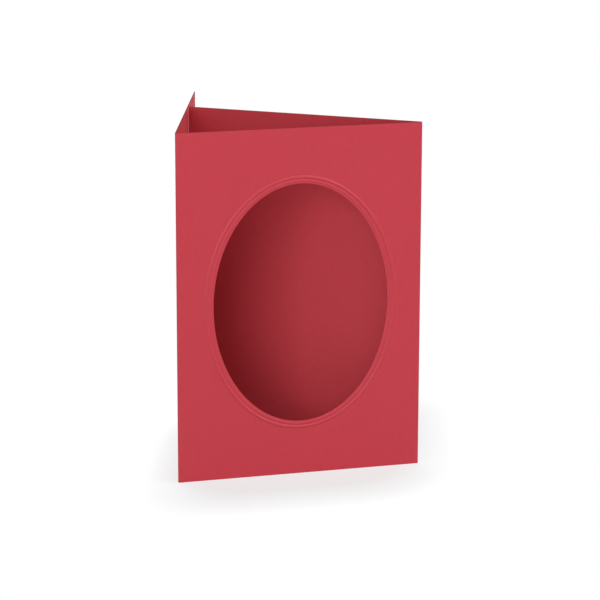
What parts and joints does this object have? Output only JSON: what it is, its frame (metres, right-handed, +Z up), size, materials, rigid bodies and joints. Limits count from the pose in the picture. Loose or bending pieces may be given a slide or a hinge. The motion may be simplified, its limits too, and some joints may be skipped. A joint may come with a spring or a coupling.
{
  "type": "passe-partout card",
  "caption": "Red three-panel card folded from one sheet, standing open, with an oval picture window in the front panel and a pressed double rim round it.",
  "frame": {"origin": "on the standing surface, under the middle of the opened card's box", "axes": "+Z up along the folds, -Y out of the front panel, +X towards the fold that the back panel hangs on"},
  "size_m": [0.1052, 0.1008, 0.148],
  "materials": {
    "card_stock": "uncoated red card, dyed through, matt with a fine fibre grain"
  },
  "bodies": {
    "root": {"folded_card": "card_stock"}
  },
  "joints": []
}
